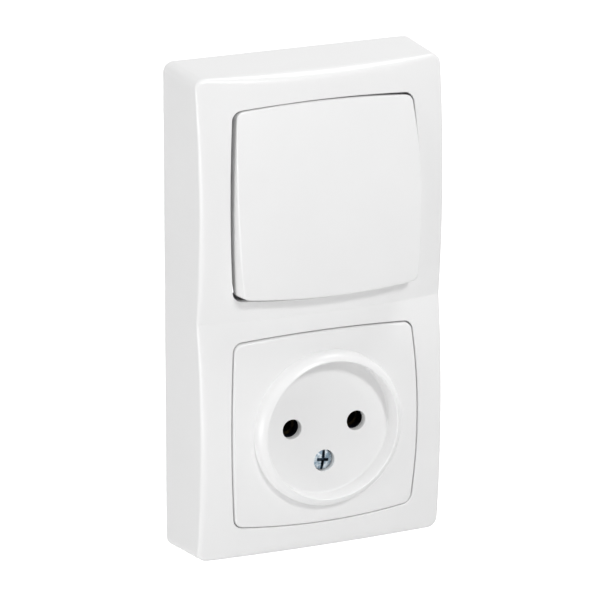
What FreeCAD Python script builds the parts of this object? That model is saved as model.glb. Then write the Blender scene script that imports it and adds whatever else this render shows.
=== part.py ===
# Surface-mounted wiring accessory with two gangs: a rocker switch above a two-pin socket.
# Sizes are in millimetres and degrees. X runs to the right, Y into the wall and Z up.
# The wall is the plane Y = 0, and the origin is the centre of the back. A reach is a
# distance out from the wall, so it is minus Y.
import FreeCAD, Part
import math
import os

# Outer form of the cover
body_width = 73.4
body_height = 134.8
body_corner = 2.8
side_draft = 2.6
cover_wall = 2.0
cavity_corner = 1.2
dome_radius = 200.0
dome_reach = 25.0
edge_round = 3.0

# Openings of the cover, and what is left of its front beside and between them
frame_side_margin = 9.05
frame_end_margin = 8.75
middle_bar = 9.1
opening_bow = 1.3
opening_corner = 2.3
opening_corner_least = 0.6
rim_wall = 1.4
rim_depth = 10.0
ledge_width = 1.6
ledge_depth = 8.0

# Base plate, its wall-screw slots, cable entries and snap tabs
base_thickness = 2.5
base_gap = 0.3
base_corner = 0.9
wall_slot_width = 4.5
wall_slot_length = 8.0
wall_slot_side_margin = 11.7
wall_slot_end_margin = 8.4
cable_entry_size = 12.0
cable_entry_corner = 2.0
cable_entry_x = 15.0
tab_length = 10.0
tab_thickness = 1.4
tab_height = 4.4
tab_gap = 1.7
nub_height = 1.6
nub_depth = 0.9
catch_depth = 1.2
catch_height = 1.4
catch_gap = 0.2
catch_overhang = 1.0

# Rocker
pivot_depth = 5.0
rocker_tilt = 5.9
rocker_rise = 2.4
rocker_side_gap = 0.6
rocker_end_gap = 0.7
rocker_wall = 1.8
rocker_skirt_depth = 9.9
rocker_edge_bevel = 0.5
key_rib_x = 8.0
key_rib_thickness = 1.2
key_rib_sink = 0.5
key_leg_width = 8.0
key_leg_thickness = 1.5
key_hook_depth = 0.6
key_hook_height = 1.0
snap_gap = 0.1

# Rocker carrier
carrier_plate_thickness = 1.5
carrier_plate_half_height = 10.3
carrier_block_half_height = 5.5
carrier_block_depth = 6.0
carrier_side_gap = 0.3
plate_above_pivot = 2.5
trunnion_radius = 2.0
trunnion_gap = 0.05
trunnion_end = 0.2
tube_radius = 4.2
tube_below_pivot = 6.5
bore_above_pivot = 1.0

# Plunger and its spring
plunger_radius = 2.4
plunger_gap = 0.1
plunger_tip_radius = 1.6
plunger_tip_bands = 2
plunger_top_below_pivot = 1.5
plunger_cup_radius = 1.7
plunger_cup_floor = 2.6
blade_clearance = 0.12
spring_wire = 0.4
spring_radius = 1.25
spring_turns = 5
spring_turn_steps = 12
spring_wire_sides = 4
spring_end_gap = 0.05

# Contacts of the switch
strip_thickness = 1.0
strip_width = 7.0
rivet_radius = 1.5
rivet_height = 0.8
contact_gap = 0.1
blade_ratio = 1.5
blade_thickness = 0.8
blade_half_length = 12.0
blade_corner = 2.1
blade_contact_arm = 10.0
blade_ear_thickness = 0.8
blade_ear_length = 2.0
blade_ear_half_height = 1.5
blade_gap = 0.1
ridge_half_base = 2.6
ridge_wall = 0.9
ridge_peak_wall = 1.3

# Switch housing
block_half_width = 25.0
switch_half_height = 22.0
block_floor = 2.3
block_wall = 1.5
block_wall_height = 4.2
block_corner = 2.0
block_inner_corner = 1.0
cheek_inside = 11.0
cheek_thickness = 2.0
cheek_half_foot = 9.0
cheek_half_head = 4.4
cheek_above_pivot = 2.3
cheek_throat_share = 0.86
chamber_half_height = 14.5
chamber_wall_height = 6.5
stop_half_height = 1.5
stop_gap = 0.1

# Terminals
terminal_x = 19.5
clamp_size = 7.6
clamp_thickness = 1.2
clamp_lip = 0.7
terminal_screw_radius = 1.7
terminal_head_radius = 2.9
terminal_head_height = 2.0
screw_slot_width = 0.8
screw_slot_depth = 0.9
thread_gap = 0.05
shank_gap = 0.3
terminal_screw_end = 0.6
wire_notch = 6.0

# Screws that hold the two blocks on the base plate
fixing_screw_radius = 1.4
fixing_head_radius = 2.8
fixing_head_height = 1.8
fixing_screw_end = 0.6
fixing_hole_floor = 0.4
fixing_x = 20.0
switch_fixing_z = 16.0
socket_fixing_z = 14.5

# Front of the socket
seam = 0.15
plate_thickness = 2.2
plate_edge_bevel = 0.5
collar_margin = 4.45
collar_width = 3.35
collar_rise = 2.7
collar_crest_round = 1.35
collar_crest_bands = 4
collar_foot_sink = 0.15
collar_slope_start = 20.0
well_depth = 2.8
well_floor = 2.2
well_floor_bevel = 0.6
cup_wall = 2.05
pin_spacing = 19.0
pin_hole_radius = 2.75
screw_below_pins = 10.0

# Cover screw and nut
cover_screw_radius = 1.7
cover_screw_length = 12.0
cover_head_radius = 2.85
cover_head_height = 1.8
cover_head_sink = 0.8
cover_head_dome = 0.35
cover_recess_gap = 0.2
cover_boss_radius = 4.6
cover_boss_depth = 2.5
cover_cross_length = 3.3
cover_cross_width = 0.85
cover_cross_depth = 1.3
cover_screw_turn = 8.0
nut_size = 6.0
nut_height = 2.4
nut_below_boss = 5.0
nut_gap = 0.1

# Socket body and contacts
socket_half_height = 20.0
tower_half_width = 14.5
tower_half_height = 6.6
chamber_radius = 4.2
sleeve_bore = 2.4
sleeve_wall = 0.8
sleeve_sink = 3.5
sleeve_slit = 0.8
sleeve_root = 2.5
tail_width = 7.0
tail_gap = 0.1
pin_relief_radius = 2.9
clip_thickness = 0.5
clip_gap = 0.05
clip_height = 4.0
clip_above_tail = 5.5
clip_opening = 2.0
nut_tower_half_width = 5.0
nut_tower_foot = 16.0
boss_pocket_gap = 0.3

# Sizes and places that follow from the sizes above
opening_half_width = body_width / 2 - frame_side_margin
opening_half_height = (body_height / 2 - frame_end_margin - middle_bar / 2) / 2
gang_pitch = 2 * opening_half_height + middle_bar
wall_slot_x = body_width / 2 - wall_slot_side_margin
wall_slot_z = body_height / 2 - wall_slot_end_margin
collar_foot_radius = min(opening_half_width, opening_half_height) - collar_margin
well_radius = collar_foot_radius - collar_width
cup_radius = well_radius + cup_wall
switch_z = gang_pitch / 2
socket_z = -gang_pitch / 2
pivot_reach = dome_reach - pivot_depth
well_reach = dome_reach - well_depth
well_back = well_reach - well_floor
floor_top = base_thickness + block_floor
strip_top = floor_top + strip_thickness
blade_tilt = rocker_tilt * blade_ratio
blade_sine = math.sin(math.radians(blade_tilt))
blade_cosine = math.cos(math.radians(blade_tilt))
blade_pivot = (
    strip_top + rivet_height + contact_gap
    + (blade_contact_arm + rivet_radius) * blade_sine
    + (blade_thickness / 2 + rivet_height) * blade_cosine
)
plunger_tip = blade_pivot + blade_thickness / 2 + blade_clearance
clamp_top = strip_top + clamp_thickness

# Ways out of the part and slack for cutting tools
CLEAR = 40.0
NUDGE = 1.0
BIG = 300.0
SAME = 0.001


def at(x, reach, z):
    """The point at a reach from the wall."""
    return FreeCAD.Vector(x, -reach, z)


def block(x0, x1, near, far, z0, z1):
    """A box that runs from one reach to another."""
    return Part.makeBox(x1 - x0, far - near, z1 - z0, at(x0, far, z0))


def disc(radius, near, far, x, z):
    """A cylinder square to the wall."""
    return Part.makeCylinder(radius, far - near, at(x, near, z), at(0, 1, 0))


def bar(radius, x0, x1, reach, z):
    """A cylinder along X."""
    return Part.makeCylinder(radius, x1 - x0, at(x0, reach, z), at(1, 0, 0))


def plate_of(points, along_x):
    """A flat piece whose outline is given as (z, reach) pairs, between two values of X."""
    x0, x1 = along_x
    wire = Part.makePolygon([at(x0, reach, z) for z, reach in points + points[:1]])
    return Part.Face(wire).extrude(at(x1 - x0, 0, 0))


def upright_edges(solid):
    """The straight edges that stand square to the wall."""
    found = []
    for edge in solid.Edges:
        if isinstance(edge.Curve, Part.Line) and abs(edge.Curve.Direction.y) > 0.999:
            found.append(edge)
    return found


def rounded_block(half_width, half_height, corner, near, far, z):
    """A box centred on X = 0 with its four upright edges rounded."""
    box = block(-half_width, half_width, near, far, z - half_height, z + half_height)
    return box.makeFillet(corner, upright_edges(box))


def bowed_block(side_inset, end_inset, near, far, z):
    """The form of an opening, smaller by the insets: four bowed sides with round corners."""
    half_width = opening_half_width - side_inset
    half_height = opening_half_height - end_inset
    corner_x = half_width - opening_bow
    corner_z = half_height - opening_bow
    corners = [
        at(-corner_x, near, z - corner_z),
        at(corner_x, near, z - corner_z),
        at(corner_x, near, z + corner_z),
        at(-corner_x, near, z + corner_z),
    ]
    middles = [
        at(0, near, z - half_height),
        at(half_width, near, z),
        at(0, near, z + half_height),
        at(-half_width, near, z),
    ]
    sides = []
    for number, middle in enumerate(middles):
        arc = Part.Arc(corners[number], middle, corners[(number + 1) % 4])
        sides.append(arc.toShape())
    solid = Part.Face(Part.Wire(sides)).extrude(at(0, far - near, 0))
    corner = max(opening_corner - side_inset, opening_corner_least)
    return solid.makeFillet(corner, upright_edges(solid))


def dome(reach, z):
    """The ball whose front cap is a gang's domed face."""
    return Part.makeSphere(dome_radius, at(0, reach - dome_radius, z))


def turned(outline, z):
    """A round piece, turned about an axis square to the wall, from (radius, reach) pairs."""
    wire = Part.makePolygon([at(radius, reach, z) for radius, reach in outline + outline[:1]])
    return Part.Face(wire).revolve(at(0, 0, z), at(0, 1, 0), 360)


def ball_bands(radius, out, reach, first, last, bands):
    """Pairs along an arc between two angles, so that a round edge is made of a few cones."""
    pairs = []
    for number in range(bands + 1):
        angle = math.radians(first + (last - first) * number / bands)
        pairs.append((out + radius * math.cos(angle), reach + radius * math.sin(angle)))
    return pairs


def tapered_block(inset, corner, back):
    """The drafted outer form without its domes, smaller all round by the inset."""
    taper = math.tan(math.radians(side_draft))
    half_width = body_width / 2 - inset
    half_height = body_height / 2 - inset
    near_width = half_width - back * taper
    near_height = half_height - back * taper
    far_width = half_width - CLEAR * taper
    far_height = half_height - CLEAR * taper
    solid = Part.makeWedge(
        -far_width, -CLEAR, -far_height, -near_height, -near_width,
        far_width, -back, far_height, near_height, near_width,
    )
    corners = [e for e in solid.Edges if abs(e.tangentAt(e.FirstParameter).y) > 0.9]
    return solid.makeFillet(corner, corners)


def rounding_arc(reach_out):
    """The arc that rounds a front edge, from the wall to the dome, as (out, reach) pairs.

    It is worked out in the plane through the dome's middle, where the wall stands reach_out
    from that middle. The last pair is where the dome's tangent crosses the middle.
    """
    draft = math.radians(side_draft)
    centre_reach = dome_reach - dome_radius
    inner = dome_radius - edge_round
    slope = math.tan(draft)
    foot = reach_out - edge_round / math.cos(draft) - centre_reach * slope
    spread = inner ** 2 * (1 + slope ** 2) - foot ** 2
    up = (foot * slope + math.sqrt(spread)) / (1 + slope ** 2)
    out = foot - slope * up
    first = draft
    last = math.atan2(up, out)
    pairs = []
    for angle in (first, (first + last) / 2, last):
        pairs.append((out + edge_round * math.cos(angle), centre_reach + up + edge_round * math.sin(angle)))
    end_out, end_reach = pairs[-1]
    pairs.append((0.0, end_reach + end_out * out / up))
    return pairs


def rounded_profile(half, middle, place, along):
    """A bar with the cover's section: drafted walls, rounded edges and a low roof over a dome.

    Its wall stands half from the origin at the back and the dome's middle lies at middle.
    The function place turns (out, reach) into a point, and the bar is extruded along.
    """
    wall, halfway, tangent, peak = rounding_arc(half - middle)
    edges = []
    corners = []
    for side in (-1, 1):
        points = [place(side * (middle + out), reach) for out, reach in (wall, halfway, tangent)]
        edges.append(Part.Arc(*points).toShape())
        corners.append(points)
    left, right = corners
    ridge = [left[2], place(-middle, peak[1]), place(middle, peak[1]), right[2]]
    if middle < SAME:
        ridge = [left[2], place(0.0, peak[1]), right[2]]
    edges += Part.makePolygon(ridge).Edges
    edges += Part.makePolygon([left[0], place(-half, 0.0), place(half, 0.0), right[0]]).Edges
    return Part.Face(Part.Wire(Part.sortEdges(edges)[0])).extrude(along)


def rounded_front(solid):
    """Round the front edges: most at the middle of each side, where the dome stands highest."""
    across = rounded_profile(
        body_width / 2, 0.0, lambda out, reach: at(out, reach, -body_height / 2), at(0, 0, body_height),
    )
    upright = rounded_profile(
        body_height / 2, gang_pitch / 2, lambda out, reach: at(-body_width / 2, reach, out),
        at(body_width, 0, 0),
    )
    return solid.common(across).common(upright)


def front_edges(solid, reach, z):
    """The edges where upright walls meet the dome of the given reach."""
    centre = at(0, reach - dome_radius, z)
    found = []
    for edge in solid.Edges:
        points = edge.discretize(5)
        if max(abs((p - centre).Length - dome_radius) for p in points) < SAME:
            found.append(edge)
    return found


def neutral_to_rest(shape):
    """Turn a piece of the rocker from its middle position to rest, with its top pressed in."""
    return shape.rotated(at(0, pivot_reach, switch_z), at(1, 0, 0), -rocker_tilt)


def blade_to_rest(shape):
    """Turn the contact blade from its middle position to rest, with its lower arm in."""
    return shape.rotated(at(0, blade_pivot, switch_z), at(1, 0, 0), blade_tilt)


def slotted_head(radius, height, seat, x, z):
    """A low screw head with a straight slot."""
    top = seat + height
    head = disc(radius, seat, top, x, z)
    half = screw_slot_width / 2
    return head.cut(block(x - half, x + half, top - screw_slot_depth, top + NUDGE, z - radius, z + radius))


# Cover frame: one deep moulding that reaches the wall. Two domes make its front, with a
# valley between them, and each gang has a bowed opening with an inward rim.

def cover_frame():
    domes = dome(dome_reach, switch_z).fuse(dome(dome_reach, socket_z))
    outer = rounded_front(tapered_block(0.0, body_corner, 0.0)).common(domes)

    inner_reach = dome_reach - cover_wall
    inner_domes = dome(inner_reach, switch_z).fuse(dome(inner_reach, socket_z))
    cavity = tapered_block(cover_wall, cavity_corner, -NUDGE).common(inner_domes)
    shell = outer.cut(cavity)

    rims = []
    for z, depth in ((switch_z, rim_depth), (socket_z, ledge_depth)):
        rims.append(bowed_block(-rim_wall, -rim_wall, dome_reach - depth, CLEAR, z).common(outer))
    frame = shell.multiFuse(rims)

    frame = frame.cut(bowed_block(0.0, 0.0, -NUDGE, CLEAR, switch_z))
    ledge_ball = dome(dome_reach - plate_thickness, socket_z)
    frame = frame.cut(bowed_block(0.0, 0.0, -NUDGE, CLEAR, socket_z).cut(ledge_ball))
    frame = frame.cut(bowed_block(ledge_width, ledge_width, -NUDGE, CLEAR, socket_z))
    catches = []
    half = tab_length / 2 + catch_overhang
    catch_far = base_thickness + tab_height - nub_height - catch_gap
    inner_face = body_width / 2 - cover_wall
    for side in (-1, 1):
        for z in (switch_z, socket_z):
            x_pair = sorted((side * (inner_face - catch_depth), side * (inner_face + cover_wall / 2)))
            catches.append(block(*x_pair, catch_far - catch_height, catch_far, z - half, z + half))
    return frame.multiFuse(catches)


# Base plate: it lies on the wall inside the cover, carries both blocks and has four tabs
# whose nubs snap past the cover's catches.

def base_plate():
    half_width = body_width / 2 - cover_wall - base_gap
    half_height = body_height / 2 - cover_wall - base_gap
    plate = rounded_block(half_width, half_height, base_corner, 0.0, base_thickness, 0.0)

    half_slot = wall_slot_width / 2
    straight = wall_slot_length / 2 - half_slot
    for x in (-wall_slot_x, wall_slot_x):
        for z in (-wall_slot_z, wall_slot_z):
            through = (-NUDGE, base_thickness + NUDGE)
            plate = plate.cut(block(x - straight, x + straight, *through, z - half_slot, z + half_slot))
            for end in (x - straight, x + straight):
                plate = plate.cut(disc(half_slot, *through, end, z))
    half = cable_entry_size / 2
    entry = rounded_block(half, half, cable_entry_corner, -NUDGE, base_thickness + NUDGE, 0.0)
    for side in (-1, 1):
        plate = plate.cut(entry.translated(at(side * cable_entry_x, 0, 0)))

    for x, z in fixing_places(switch_z, switch_fixing_z) + fixing_places(socket_z, socket_fixing_z):
        plate = plate.cut(disc(fixing_screw_radius + thread_gap, fixing_hole_floor, CLEAR, x, z))

    tabs = []
    for side in (-1, 1):
        for z in (switch_z, socket_z):
            z0, z1 = z - tab_length / 2, z + tab_length / 2
            outside = body_width / 2 - cover_wall - tab_gap
            x_pair = sorted((side * (outside - tab_thickness), side * outside))
            top = base_thickness + tab_height
            tabs.append(block(*x_pair, base_thickness - NUDGE, top, z0, z1))
            corners = [
                at(side * (outside - NUDGE), top - nub_height, z0),
                at(side * (outside + nub_depth), top - nub_height, z0),
                at(side * outside, top, z0),
                at(side * (outside - NUDGE), top, z0),
            ]
            nub = Part.Face(Part.makePolygon(corners + corners[:1])).extrude(at(0, 0, tab_length))
            tabs.append(nub)
    return plate.multiFuse(tabs).removeSplitter()


def fixing_places(z, half_spacing):
    """Two screws of a block, at opposite corners."""
    return [(-fixing_x, z - half_spacing), (fixing_x, z + half_spacing)]


# Rocker: the key is the large visible face. It snaps onto the carrier, which rocks on two
# trunnions and holds the sprung plunger.

def rocker_key():
    skirt = pivot_reach + rocker_rise + pivot_depth - rocker_skirt_depth
    apex = dome_reach + rocker_rise
    outer = rocker_form(0.0, skirt).common(dome(apex, switch_z))
    outer = outer.makeChamfer(rocker_edge_bevel, front_edges(outer, apex, switch_z))
    hollow = rocker_form(rocker_wall, skirt - NUDGE).common(dome(apex - rocker_wall, switch_z))
    key = outer.cut(hollow)

    plate_front = pivot_reach + plate_above_pivot
    plate_back = plate_front - carrier_plate_thickness
    inside = apex - rocker_wall + key_rib_sink
    half_rib = carrier_plate_half_height - NUDGE
    for side in (-1, 1):
        x_pair = sorted((side * key_rib_x, side * (key_rib_x - key_rib_thickness)))
        key = key.fuse(block(*x_pair, plate_front, inside, switch_z - half_rib, switch_z + half_rib))
        edge = leg_inside()
        z_pair = sorted((switch_z + side * edge, switch_z + side * (edge + key_leg_thickness)))
        half = key_leg_width / 2
        hook_top = plate_back - snap_gap
        key = key.fuse(block(-half, half, hook_top - key_hook_height, inside, *z_pair))
        hook_z = sorted((switch_z + side * (edge - key_hook_depth), switch_z + side * (edge + NUDGE)))
        key = key.fuse(block(-half, half, hook_top - key_hook_height, hook_top, *hook_z))
    return neutral_to_rest(key)


def rocker_form(inset, near):
    """The key's outline, a little smaller than the opening."""
    return bowed_block(rocker_side_gap + inset, rocker_end_gap + inset, near, CLEAR, switch_z)


def leg_inside():
    """How far from the middle the key's legs grip the carrier's plate."""
    return carrier_plate_half_height - key_hook_depth - snap_gap


def rocker_carrier():
    half_width = cheek_inside - carrier_side_gap
    top = pivot_reach + plate_above_pivot
    back = top - carrier_plate_thickness
    half = carrier_plate_half_height
    carrier = block(-half_width, half_width, back, top, switch_z - half, switch_z + half)
    notch = key_leg_width / 2 + snap_gap
    for side in (-1, 1):
        z_pair = sorted((switch_z + side * (leg_inside() - snap_gap), switch_z + side * (half + NUDGE)))
        carrier = carrier.cut(block(-notch, notch, back - NUDGE, top + NUDGE, *z_pair))
    half = carrier_block_half_height
    low = top - carrier_block_depth
    middle = block(-half_width, half_width, low, back + NUDGE / 2, switch_z - half, switch_z + half)
    carrier = carrier.fuse(middle)
    tube_end = pivot_reach - tube_below_pivot
    carrier = carrier.fuse(disc(tube_radius, tube_end, low + NUDGE, 0.0, switch_z))
    trunnion = cheek_inside + cheek_thickness + trunnion_end
    carrier = carrier.fuse(bar(trunnion_radius, -trunnion, trunnion, pivot_reach, switch_z))
    bore = disc(plunger_radius + plunger_gap, tube_end - NUDGE, pivot_reach + bore_above_pivot, 0.0, switch_z)
    return neutral_to_rest(carrier.cut(bore).removeSplitter())


def plunger():
    top = pivot_reach - plunger_top_below_pivot
    nose_reach = plunger_tip + plunger_tip_radius
    outline = ball_bands(plunger_tip_radius, 0.0, nose_reach, -90.0, 0.0, plunger_tip_bands)
    outline.append((plunger_radius, nose_reach + plunger_radius - plunger_tip_radius))
    outline += [(plunger_radius, top), (0.0, top)]
    cup = disc(plunger_cup_radius, plunger_tip + plunger_cup_floor, CLEAR, 0.0, switch_z)
    return neutral_to_rest(turned(outline, switch_z).cut(cup))


def plunger_spring():
    start = plunger_tip + plunger_cup_floor + spring_end_gap + spring_wire / 2
    end = pivot_reach + bore_above_pivot - spring_end_gap - spring_wire / 2
    steps = spring_turns * spring_turn_steps
    path = []
    for number in range(steps + 1):
        angle = 2 * math.pi * number / spring_turn_steps
        rise = (end - start) * number / steps
        path.append(FreeCAD.Vector(spring_radius * math.cos(angle), spring_radius * math.sin(angle), rise))
    corners = []
    for number in range(spring_wire_sides + 1):
        angle = 2 * math.pi * number / spring_wire_sides
        across = spring_radius + spring_wire / 2 * math.cos(angle)
        corners.append(FreeCAD.Vector(across, 0, spring_wire / 2 * math.sin(angle)))
    coil = Part.makePolygon(path).makePipeShell([Part.makePolygon(corners)], True, True, 1)
    coil = coil.rotated(FreeCAD.Vector(0, 0, 0), at(1, 0, 0), 90.0)
    return neutral_to_rest(coil.translated(at(0, start, switch_z)))


# Contacts of the switch: the blade rocks on the ridge of the common contact, and the rivet
# on its lower arm closes on the fixed contact.

def contact_blade():
    half = strip_width / 2
    near = blade_pivot - blade_thickness / 2
    far = blade_pivot + blade_thickness / 2
    blade = block(-half, half, near, far, switch_z - blade_half_length, switch_z + blade_half_length)
    blade = blade.makeFillet(blade_corner, upright_edges(blade))
    for side in (-1, 1):
        x_pair = sorted((side * (half - blade_gap), side * (half + blade_ear_thickness + blade_gap)))
        ear_x = sorted((side * (half + blade_gap), side * (half + blade_ear_thickness + blade_gap)))
        z0, z1 = switch_z - blade_ear_half_height, switch_z + blade_ear_half_height
        blade = blade.fuse(block(*x_pair, near, far, z0, z1))
        blade = blade.fuse(block(*ear_x, near - blade_ear_length, far, z0, z1))
    return blade_to_rest(blade.removeSplitter())


def moving_contact_rivet():
    near = blade_pivot - blade_thickness / 2 - rivet_height
    head = disc(rivet_radius, near, near + rivet_height, 0.0, switch_z - blade_contact_arm)
    return blade_to_rest(head)


def fixed_contact_rivet():
    return disc(rivet_radius, strip_top, strip_top + rivet_height, 0.0, switch_z - blade_contact_arm)


def fixed_contact():
    half = strip_width / 2
    z = switch_z - blade_contact_arm
    far_x = terminal_x + clamp_size / 2
    strip = block(-half, far_x, floor_top, strip_top, z - half, z + half)
    return strip.cut(disc(terminal_screw_radius + thread_gap, 0.0, CLEAR, terminal_x, z))


def common_contact():
    half = strip_width / 2
    far_x = terminal_x + clamp_size / 2
    strip = block(-far_x, half, floor_top, strip_top, switch_z - half, switch_z + half)
    strip = strip.cut(disc(terminal_screw_radius + thread_gap, 0.0, CLEAR, -terminal_x, switch_z))
    peak = blade_pivot - blade_thickness / 2 - blade_gap
    z0, z1 = switch_z - ridge_half_base, switch_z + ridge_half_base
    inside_z0, inside_z1 = z0 + ridge_wall, z1 - ridge_wall
    ridge = [
        (z0, floor_top),
        (z1, floor_top),
        (z1, strip_top),
        (switch_z, peak),
        (z0, strip_top),
    ]
    hollow = [
        (inside_z0, floor_top - NUDGE),
        (inside_z1, floor_top - NUDGE),
        (inside_z1, strip_top),
        (switch_z, peak - ridge_peak_wall),
        (inside_z0, strip_top),
    ]
    strip = strip.fuse(plate_of(ridge, (-half, half)))
    return strip.cut(plate_of(hollow, (-half, half + NUDGE))).removeSplitter()


# Switch housing: a moulded tray with two cheeks that carry the trunnions, walls round the
# contacts and a stop for the blade's upper arm.

def tray(half_height, z):
    """The tray both blocks start from: a floor with a low wall round it."""
    top = floor_top + block_wall_height
    solid = rounded_block(block_half_width, half_height, block_corner, base_thickness, top, z)
    return solid.cut(tray_inside(half_height, z))


def tray_inside(half_height, z):
    """The space over a tray's floor."""
    inner_width = block_half_width - block_wall
    inner_height = half_height - block_wall
    return rounded_block(inner_width, inner_height, block_inner_corner, floor_top, CLEAR, z)


def switch_housing():
    housing = tray(switch_half_height, switch_z)
    for side in (-1, 1):
        x_pair = sorted((side * cheek_inside, side * (cheek_inside + cheek_thickness)))
        head = pivot_reach + cheek_above_pivot
        outline = [
            (switch_z - cheek_half_foot, floor_top - NUDGE),
            (switch_z + cheek_half_foot, floor_top - NUDGE),
            (switch_z + cheek_half_head, head),
            (switch_z - cheek_half_head, head),
        ]
        cheek = plate_of(outline, x_pair)
        hole = trunnion_radius + trunnion_gap
        throat = hole * cheek_throat_share
        x0, x1 = x_pair[0] - NUDGE, x_pair[1] + NUDGE
        cheek = cheek.cut(bar(hole, x0, x1, pivot_reach, switch_z))
        cheek = cheek.cut(block(x0, x1, pivot_reach, CLEAR, switch_z - throat, switch_z + throat))
        housing = housing.fuse(cheek)
        z_pair = sorted((side * chamber_half_height, side * (chamber_half_height + block_wall)))
        wall = block(
            -cheek_inside, cheek_inside, floor_top - NUDGE, floor_top + chamber_wall_height,
            switch_z + z_pair[0], switch_z + z_pair[1],
        )
        housing = housing.fuse(wall)

    stop_top = blade_pivot - blade_half_length * blade_sine - blade_thickness / 2 * blade_cosine - stop_gap
    stop_z = switch_z + blade_contact_arm
    half = strip_width / 2
    z0, z1 = stop_z - stop_half_height, stop_z + stop_half_height
    stop = block(-half, half, floor_top - NUDGE, stop_top, z0, z1)
    housing = housing.fuse(stop)

    slot = half + tail_gap
    for x_end, z in ((-BIG, switch_z), (BIG, switch_z - blade_contact_arm)):
        x0, x1 = sorted((math.copysign(slot, -x_end), x_end))
        passage = block(x0, x1, floor_top, strip_top + tail_gap, z - slot, z + slot)
        housing = housing.cut(passage.common(tray_inside(switch_half_height, switch_z)))
    for side, z in ((-1, switch_z), (1, switch_z - blade_contact_arm)):
        housing = housing.cut(terminal_hole(side, z))
    for x, z in fixing_places(switch_z, switch_fixing_z):
        housing = housing.cut(disc(fixing_screw_radius + shank_gap, 0.0, floor_top + NUDGE, x, z))
    return housing.removeSplitter()


def terminal_hole(side, z):
    """Room under a terminal for its screw's end, and a notch in the wall for the wire."""
    x = side * terminal_x
    shaft = disc(terminal_screw_radius + shank_gap, 0.0, floor_top + NUDGE, x, z)
    x_pair = sorted((side * (terminal_x + clamp_size / 2), side * (block_half_width + NUDGE)))
    half = wire_notch / 2
    notch = block(*x_pair, strip_top, CLEAR, z - half, z + half)
    return shaft.fuse(notch)


# Terminals: a square clamp with turned-up lips under a slotted screw, one for each contact.

def terminal_clamp(x, z):
    half = clamp_size / 2
    clamp = block(x - half, x + half, strip_top, clamp_top, z - half, z + half)
    for side in (-1, 1):
        x_pair = sorted((x + side * half, x + side * (half - clamp_lip)))
        clamp = clamp.fuse(block(*x_pair, strip_top, clamp_top + clamp_lip, z - half, z + half))
    hole = disc(terminal_screw_radius + shank_gap, 0.0, CLEAR, x, z)
    return clamp.removeSplitter().cut(hole)


def terminal_screw(x, z):
    head = slotted_head(terminal_head_radius, terminal_head_height, clamp_top, x, z)
    end = base_thickness + terminal_screw_end
    return head.fuse(disc(terminal_screw_radius, end, clamp_top + NUDGE / 2, x, z)).removeSplitter()


def fixing_screw(x, z):
    head = slotted_head(fixing_head_radius, fixing_head_height, floor_top, x, z)
    shank = disc(fixing_screw_radius, fixing_screw_end, floor_top + NUDGE / 2, x, z)
    return head.fuse(shank).removeSplitter()


# Front of the socket: a domed plate, flush with the cover and seated on its ledge. A raised
# collar surrounds the round well, whose floor has the two pin holes and the screw's recess.

def socket_front():
    z = socket_z
    plate = bowed_block(seam, seam, 0.0, CLEAR, z).common(dome(dome_reach, z))
    plate = plate.makeChamfer(plate_edge_bevel, front_edges(plate, dome_reach, z))
    plate = plate.cut(dome(dome_reach - plate_thickness + seam / 2, z))

    crest_reach = dome_reach + collar_rise - collar_crest_round
    crest_radius = well_radius + collar_crest_round
    foot_reach = dome_reach - collar_foot_radius ** 2 / (2 * dome_radius) - collar_foot_sink
    outline = [
        (well_radius, well_reach + well_floor_bevel),
        (well_radius - well_floor_bevel, well_reach),
        (0.0, well_reach),
        (0.0, well_back),
        (cup_radius, well_back),
        (cup_radius, foot_reach - NUDGE),
        (collar_foot_radius, foot_reach),
    ]
    outline += ball_bands(
        collar_crest_round, crest_radius, crest_reach, collar_slope_start, 180.0, collar_crest_bands,
    )
    cup = turned(outline, z)

    front = plate.cut(disc(cup_radius - NUDGE, 0.0, CLEAR, 0.0, z)).fuse(cup)
    screw_z = z - screw_below_pins
    boss = disc(cover_boss_radius, well_back - cover_boss_depth, well_back + NUDGE, 0.0, screw_z)
    front = front.fuse(boss)
    for x in (-pin_spacing / 2, pin_spacing / 2):
        front = front.cut(disc(pin_hole_radius, 0.0, CLEAR, x, z))
    seat = head_seat()
    front = front.cut(disc(cover_head_radius + cover_recess_gap, seat, CLEAR, 0.0, screw_z))
    front = front.cut(disc(cover_screw_radius + shank_gap, 0.0, CLEAR, 0.0, screw_z))
    return front.removeSplitter()


def head_seat():
    """The reach of the face under the cover screw's head."""
    return well_reach - cover_head_sink - cover_head_height


def cover_screw():
    z = socket_z - screw_below_pins
    seat = head_seat()
    top = seat + cover_head_height
    head = disc(cover_head_radius, seat, top, 0.0, z)
    cap_radius = (cover_head_radius ** 2 + cover_head_dome ** 2) / (2 * cover_head_dome)
    cap = Part.makeSphere(cap_radius, at(0, top - cap_radius, z))
    head = head.common(cap)
    half = screw_slot_width / 2
    slot = block(-half, half, top - screw_slot_depth, CLEAR, z - CLEAR, z + CLEAR)
    arm = cover_cross_length / 2
    half = cover_cross_width / 2
    cross = block(-half, half, top - cover_cross_depth, CLEAR, z - arm, z + arm)
    cross = cross.fuse(block(-arm, arm, top - cover_cross_depth, CLEAR, z - half, z + half))
    recess = slot.fuse(cross).rotated(at(0, 0, z), at(0, 1, 0), cover_screw_turn)
    shank = disc(cover_screw_radius, seat - cover_screw_length, seat + NUDGE / 2, 0.0, z)
    return head.cut(recess).fuse(shank).removeSplitter()


def nut_near():
    """The reach of the nut's back face."""
    return well_back - cover_boss_depth - nut_below_boss - nut_height


def cover_screw_nut():
    z = socket_z - screw_below_pins
    half = nut_size / 2
    nut = block(-half, half, nut_near(), nut_near() + nut_height, z - half, z + half)
    return nut.cut(disc(cover_screw_radius + thread_gap, 0.0, CLEAR, 0.0, z))


# Socket body: a tray with a tower for the two contacts' chambers, which are open to the front
# and outwards, and a lower tower with the pocket of the nut.

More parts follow.
